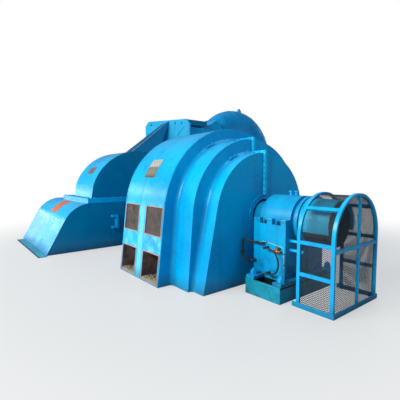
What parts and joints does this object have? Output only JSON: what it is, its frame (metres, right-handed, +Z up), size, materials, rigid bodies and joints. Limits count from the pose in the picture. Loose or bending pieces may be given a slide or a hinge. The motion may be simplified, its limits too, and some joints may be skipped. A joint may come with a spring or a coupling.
{
  "type": "horizontal-shaft hydroelectric generator unit",
  "caption": "Horizontal hydro generator with stepped arched covers, pedestal bearings, caged exciter and a turbine casing fed by a pipe bend.",
  "frame": {"origin": "on the floor under the shaft, midway along the generator frame", "axes": "+Z up; +X along the shaft towards the caged exciter; +Y level, towards the inlet pipe"},
  "size_m": [7.74, 7.767, 3.7937],
  "materials": {
    "blue_paint": "gloss",
    "blue_paint_bright": "gloss",
    "blue_paint_pipe": "satin",
    "mesh_steel": "satin",
    "vent_border": "matt, rusty",
    "vent_mesh": "dusty",
    "plate_metal": "satin",
    "machined_steel": "oiled",
    "dark_iron": "satin",
    "oil_pipe": "satin",
    "hose_rubber": "matt",
    "valve_brass": "worn"
  },
  "bodies": {
    "root": {"bearing_anchors": "blue_paint", "bearing_soles": "blue_paint_bright", "bend_air_valve": "blue_paint_pipe", "bend_flange": "blue_paint_pipe", "cage_back_hoop": "blue_paint_bright", "cage_front_frame": "blue_paint_bright", "cage_mesh_front": "mesh_steel", "cage_mesh_left": "mesh_steel", "cage_mesh_right": "mesh_steel", "cage_mesh_top": "mesh_steel", "cage_rails": "blue_paint_bright", "cap_breathers": "blue_paint", "casing_base_lip": "blue_paint", "casing_bracket": "blue_paint", "exciter_adapter": "blue_paint", "exciter_cable_stubs": "blue_paint_bright", "exciter_frame": "dark_iron", "exciter_hood": "blue_paint_bright", "front_bearing_cap": "blue_paint_bright", "front_bearing_pedestal": "blue_paint_bright", "front_cover_left": "blue_paint", "front_cover_right": "blue_paint", "generator_frame": "blue_paint", "head_box": "blue_paint", "head_plate": "blue_paint", "hose_fittings": "valve_brass", "inlet_bend": "blue_paint_pipe", "inlet_riser": "blue_paint_pipe", "nozzle_chamber": "blue_paint", "nozzle_conduit": "blue_paint", "oil_feed_pipe": "oil_pipe", "oil_hose": "hose_rubber", "oil_valve": "valve_brass", "rating_plates": "plate_metal", "rear_bearing_cap": "blue_paint_bright", "rear_bearing_pedestal": "blue_paint_bright", "rear_cover_left": "blue_paint", "rear_cover_right": "blue_paint", "riser_foot_flange": "blue_paint_pipe", "shaft_collars": "blue_paint", "turbine_casing_flange": "blue_paint", "turbine_lower_casing": "blue_paint", "turbine_shaft_seal": "blue_paint", "turbine_upper_casing": "blue_paint", "vent_borders": "vent_border", "vent_screens": "vent_mesh"},
    "rotor": {"main_shaft": "machined_steel", "exciter_armature": "dark_iron", "exciter_end_disc": "dark_iron"}
  },
  "joints": [
    {"name": "main_shaft_spin", "type": "hinge", "parent": "root", "child": "rotor", "pos_m": [0, 0, 1], "axis": [1, 0, 0], "continuous": true}
  ]
}
